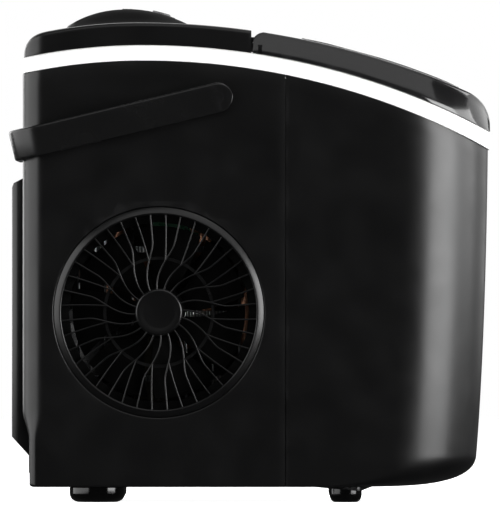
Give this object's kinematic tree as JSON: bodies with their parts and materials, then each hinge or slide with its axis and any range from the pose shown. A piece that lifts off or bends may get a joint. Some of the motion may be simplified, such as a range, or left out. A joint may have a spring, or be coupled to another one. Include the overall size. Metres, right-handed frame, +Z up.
{
  "type": "countertop ice maker",
  "caption": "Countertop ice maker with a windowed lid, a folding bail handle, a round side fan grille and push buttons.",
  "frame": {"origin": "middle of the footprint, on the surface that the feet stand on", "axes": "+X to the front, +Y to the right-hand side when facing the front from behind, +Z up"},
  "size_m": [0.3132, 0.2228, 0.3203],
  "materials": {
    "black_shell": "satin moulded black",
    "gloss_black": "polished black",
    "white_trim": "satin white",
    "smoked_window": "polished smoked acrylic",
    "grey_plastic": "satin dark grey",
    "black_rubber": "matte",
    "white_liner": "satin white",
    "foam": "matte foam",
    "clear_plastic": "clear moulded",
    "plated_steel": "bright plated",
    "zinc_steel": "zinc plated",
    "black_enamel": "baked enamel",
    "aluminium_coil": "mill finish",
    "copper": "drawn copper",
    "circuit_board": "solder mask"
  },
  "bodies": {
    "housing": {"rear_shell": "black_shell", "front_shell": "black_shell", "base_pan": "black_shell", "trim_band": "white_trim", "cord_gland": "black_rubber", "foot_rear_left": "black_rubber", "foot_rear_right": "black_rubber", "foot_front_left": "black_rubber", "foot_front_right": "black_rubber", "rear_cover": "black_shell", "cover_screw_lower_left": "zinc_steel", "cover_screw_lower_right": "zinc_steel", "cover_screw_upper_left": "zinc_steel", "cover_screw_upper_right": "zinc_steel", "top_cover": "black_shell", "control_panel": "gloss_black", "indicator_lens": "smoked_window", "control_board": "circuit_board", "hinge_pin_left": "zinc_steel", "hinge_pin_right": "zinc_steel", "handle_pivot_left": "black_shell", "handle_pivot_right": "black_shell", "fan_grille": "black_shell", "fan_shroud": "black_shell", "fan_motor": "zinc_steel", "inner_tank": "white_liner", "tank_insulation": "foam", "evaporator": "plated_steel", "evaporator_bracket": "plated_steel", "tray_motor": "grey_plastic", "level_sensor": "grey_plastic", "ice_sensor": "grey_plastic", "water_pump": "grey_plastic", "pump_hose": "clear_plastic", "compressor": "black_enamel", "compressor_mount_rear_left": "black_rubber", "compressor_mount_rear_right": "black_rubber", "compressor_mount_front": "black_rubber", "condenser": "aluminium_coil", "discharge_pipe": "copper", "suction_pipe": "copper", "filter_drier": "copper", "liquid_pipe": "copper", "capillary_tube": "copper", "hot_gas_valve": "copper", "power_board": "circuit_board"},
    "lid": {"lid_frame": "gloss_black", "lid_window": "smoked_window"},
    "handle": {"carry_handle": "black_shell"},
    "fan": {"fan_blade": "black_shell"},
    "tray": {"water_tray": "clear_plastic"},
    "basket": {"ice_basket": "clear_plastic"},
    "power_button": {"button_power": "grey_plastic"},
    "size_button": {"button_size": "grey_plastic"},
    "clean_button": {"button_clean": "grey_plastic"},
    "drain": {"drain_plug": "black_rubber"}
  },
  "joints": [
    {"name": "lid_hinge", "type": "hinge", "parent": "housing", "child": "lid", "pos_m": [0.0085, 0, 0.2975], "axis": [0, -1, 0], "range_deg": [0, 95]},
    {"name": "handle_swing", "type": "hinge", "parent": "housing", "child": "handle", "pos_m": [-0.021, 0, 0.2621], "axis": [0, 1, 0], "range_deg": [0, 168]},
    {"name": "fan_spin", "type": "hinge", "parent": "housing", "child": "fan", "pos_m": [-0.059, -0.088, 0.1232], "axis": [0, 1, 0], "continuous": true},
    {"name": "tray_tilt", "type": "hinge", "parent": "housing", "child": "tray", "pos_m": [0.0485, 0, 0.208], "axis": [0, 1, 0], "range_deg": [0, 60]},
    {"name": "basket_lift", "type": "slide", "parent": "housing", "child": "basket", "axis": [0, 0, 1], "range_m": [0, 0.03]},
    {"name": "power_press", "type": "slide", "parent": "housing", "child": "power_button", "axis": [-0.2588, 0, -0.9659], "range_m": [0, 0.001], "stiffness_N_per_m": 300, "springref_m": -0.0005},
    {"name": "size_press", "type": "slide", "parent": "housing", "child": "size_button", "axis": [-0.2588, 0, -0.9659], "range_m": [0, 0.001], "stiffness_N_per_m": 300, "springref_m": -0.0005},
    {"name": "clean_press", "type": "slide", "parent": "housing", "child": "clean_button", "axis": [-0.2588, 0, -0.9659], "range_m": [0, 0.001], "stiffness_N_per_m": 300, "springref_m": -0.0005},
    {"name": "drain_turn", "type": "hinge", "parent": "housing", "child": "drain", "pos_m": [0.05, 0, 0.01], "axis": [0, 0, -1], "range_deg": [0, 360]}
  ]
}
